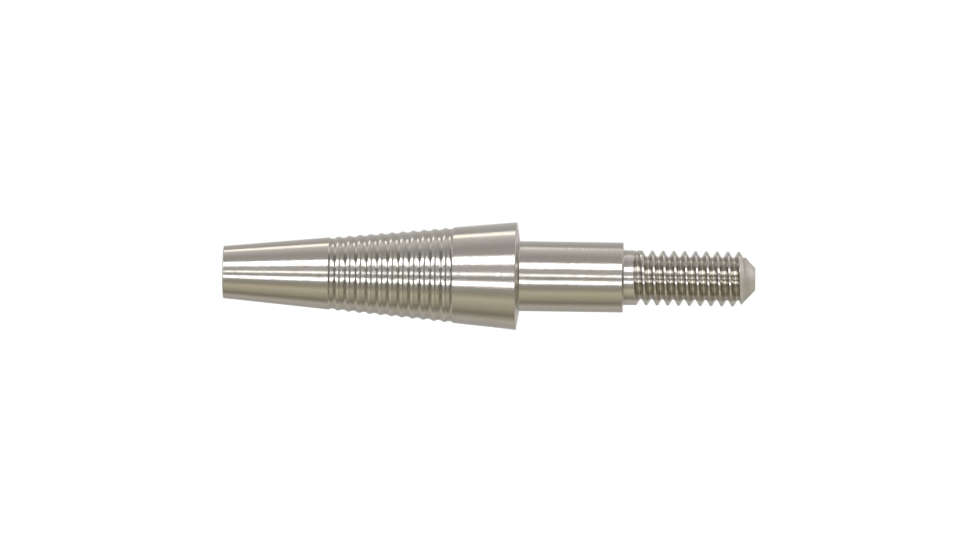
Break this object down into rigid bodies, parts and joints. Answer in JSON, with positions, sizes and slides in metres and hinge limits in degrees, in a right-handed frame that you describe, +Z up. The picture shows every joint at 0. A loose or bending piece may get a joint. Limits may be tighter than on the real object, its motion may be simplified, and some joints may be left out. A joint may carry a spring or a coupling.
{
  "type": "screw-in point adapter",
  "caption": "Turned steel adapter: a tapered nose with glue rings, a bevelled shoulder, a plain shank and a threaded stud with a cone end.",
  "frame": {"origin": "on the turning axis, in the plane of the big end's back edge, where the shoulder begins", "axes": "+X along the axis towards the threaded stud, -X towards the tapered nose; +Z up is arbitrary on a turned part, and sets only where the thread starts"},
  "size_m": [0.0392, 0.008, 0.008],
  "materials": {
    "turned_steel": "fine turned, bright, with faint tool lines around it"
  },
  "bodies": {
    "root": {"adapter_body": "turned_steel"}
  },
  "joints": []
}
